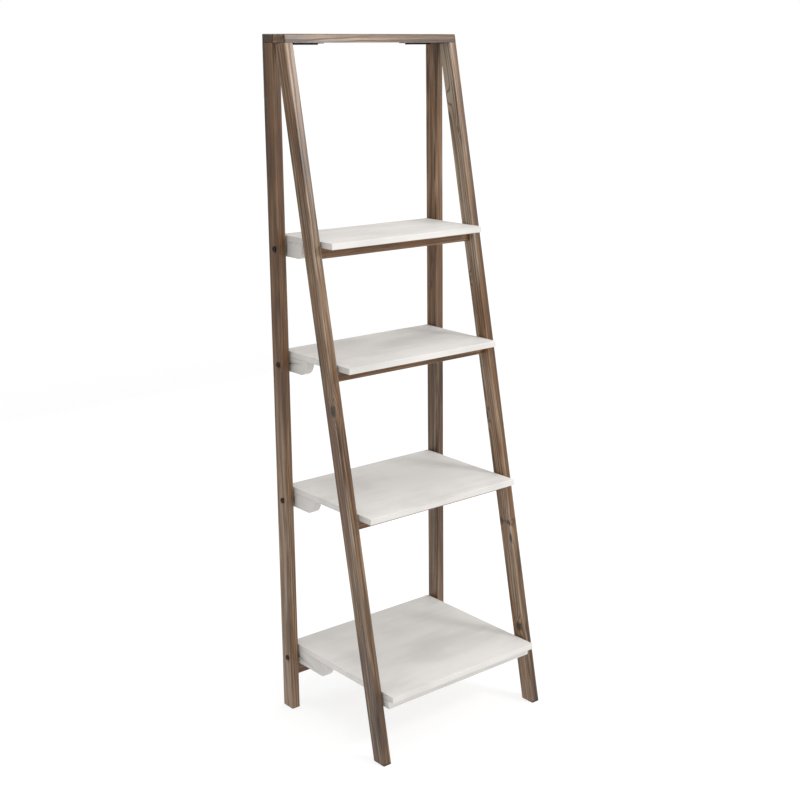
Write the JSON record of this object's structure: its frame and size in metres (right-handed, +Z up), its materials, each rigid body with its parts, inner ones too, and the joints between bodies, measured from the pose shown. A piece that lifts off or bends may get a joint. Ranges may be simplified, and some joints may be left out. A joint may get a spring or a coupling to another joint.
{
  "type": "folding ladder shelf",
  "caption": "Free-standing folding ladder shelf: upright rear frame, leaning hinged front frame and whitewashed shelves that swing up on bolts as it closes.",
  "frame": {"origin": "middle of the footprint at floor level, that is the bottom centre of the bounding box", "axes": "+X across the shelf to the right as seen from the front, -Y towards the front where the leaning frame stands, +Z up"},
  "size_m": [0.4922, 0.402, 1.6],
  "materials": {
    "stained_wood": "weathered grey-brown stain over long streaky grain, matt",
    "whitewashed_wood": "worn off-white wash, soft satin",
    "black_metal": "blackened steel, satin"
  },
  "bodies": {
    "rear_frame": {"rear_leg_left": "stained_wood", "rear_leg_right": "stained_wood", "rear_top_rail": "stained_wood", "rear_bottom_rail": "stained_wood", "hinge_left_rear_leaf": "black_metal", "hinge_right_rear_leaf": "black_metal", "hinge_left_pin": "black_metal", "hinge_right_pin": "black_metal", "shelf_1_bolt_left": "black_metal", "shelf_1_washer_left": "black_metal", "shelf_1_nut_left": "black_metal", "shelf_1_bolt_right": "black_metal", "shelf_1_washer_right": "black_metal", "shelf_1_nut_right": "black_metal", "shelf_2_bolt_left": "black_metal", "shelf_2_washer_left": "black_metal", "shelf_2_nut_left": "black_metal", "shelf_2_bolt_right": "black_metal", "shelf_2_washer_right": "black_metal", "shelf_2_nut_right": "black_metal", "shelf_3_bolt_left": "black_metal", "shelf_3_washer_left": "black_metal", "shelf_3_nut_left": "black_metal", "shelf_3_bolt_right": "black_metal", "shelf_3_washer_right": "black_metal", "shelf_3_nut_right": "black_metal", "shelf_4_bolt_left": "black_metal", "shelf_4_washer_left": "black_metal", "shelf_4_nut_left": "black_metal", "shelf_4_bolt_right": "black_metal", "shelf_4_washer_right": "black_metal", "shelf_4_nut_right": "black_metal"},
    "front_frame": {"front_leg_left": "stained_wood", "front_leg_right": "stained_wood", "front_top_rail": "stained_wood", "rung_1": "stained_wood", "rung_2": "stained_wood", "rung_3": "stained_wood", "rung_4": "stained_wood", "hinge_left_front_leaf": "black_metal", "hinge_right_front_leaf": "black_metal"},
    "shelf_1": {"shelf_1_board": "whitewashed_wood", "shelf_1_cleat_left": "whitewashed_wood", "shelf_1_cleat_right": "whitewashed_wood"},
    "shelf_2": {"shelf_2_board": "whitewashed_wood", "shelf_2_cleat_left": "whitewashed_wood", "shelf_2_cleat_right": "whitewashed_wood"},
    "shelf_3": {"shelf_3_board": "whitewashed_wood", "shelf_3_cleat_left": "whitewashed_wood", "shelf_3_cleat_right": "whitewashed_wood"},
    "shelf_4": {"shelf_4_board": "whitewashed_wood", "shelf_4_cleat_left": "whitewashed_wood", "shelf_4_cleat_right": "whitewashed_wood", "shelf_4_apron": "whitewashed_wood"}
  },
  "joints": [
    {"name": "front_frame_fold", "type": "hinge", "parent": "rear_frame", "child": "front_frame", "pos_m": [0, 0.15785, 1.5785], "axis": [1, 0, 0], "range_deg": [0, 10]},
    {"name": "shelf_1_fold", "type": "hinge", "parent": "rear_frame", "child": "shelf_1", "pos_m": [0, 0.178, 1.1295], "axis": [-1, 0, 0], "range_deg": [0, 90]},
    {"name": "shelf_2_fold", "type": "hinge", "parent": "rear_frame", "child": "shelf_2", "pos_m": [0, 0.178, 0.8615], "axis": [-1, 0, 0], "range_deg": [0, 90]},
    {"name": "shelf_3_fold", "type": "hinge", "parent": "rear_frame", "child": "shelf_3", "pos_m": [0, 0.178, 0.5325], "axis": [-1, 0, 0], "range_deg": [0, 90]},
    {"name": "shelf_4_fold", "type": "hinge", "parent": "rear_frame", "child": "shelf_4", "pos_m": [0, 0.178, 0.131], "axis": [-1, 0, 0], "range_deg": [0, 90]}
  ],
  "couplings": [
    {"joint": "shelf_1_fold", "follows": "front_frame_fold", "ratio": 9},
    {"joint": "shelf_2_fold", "follows": "front_frame_fold", "ratio": 9},
    {"joint": "shelf_3_fold", "follows": "front_frame_fold", "ratio": 9},
    {"joint": "shelf_4_fold", "follows": "front_frame_fold", "ratio": 9}
  ]
}
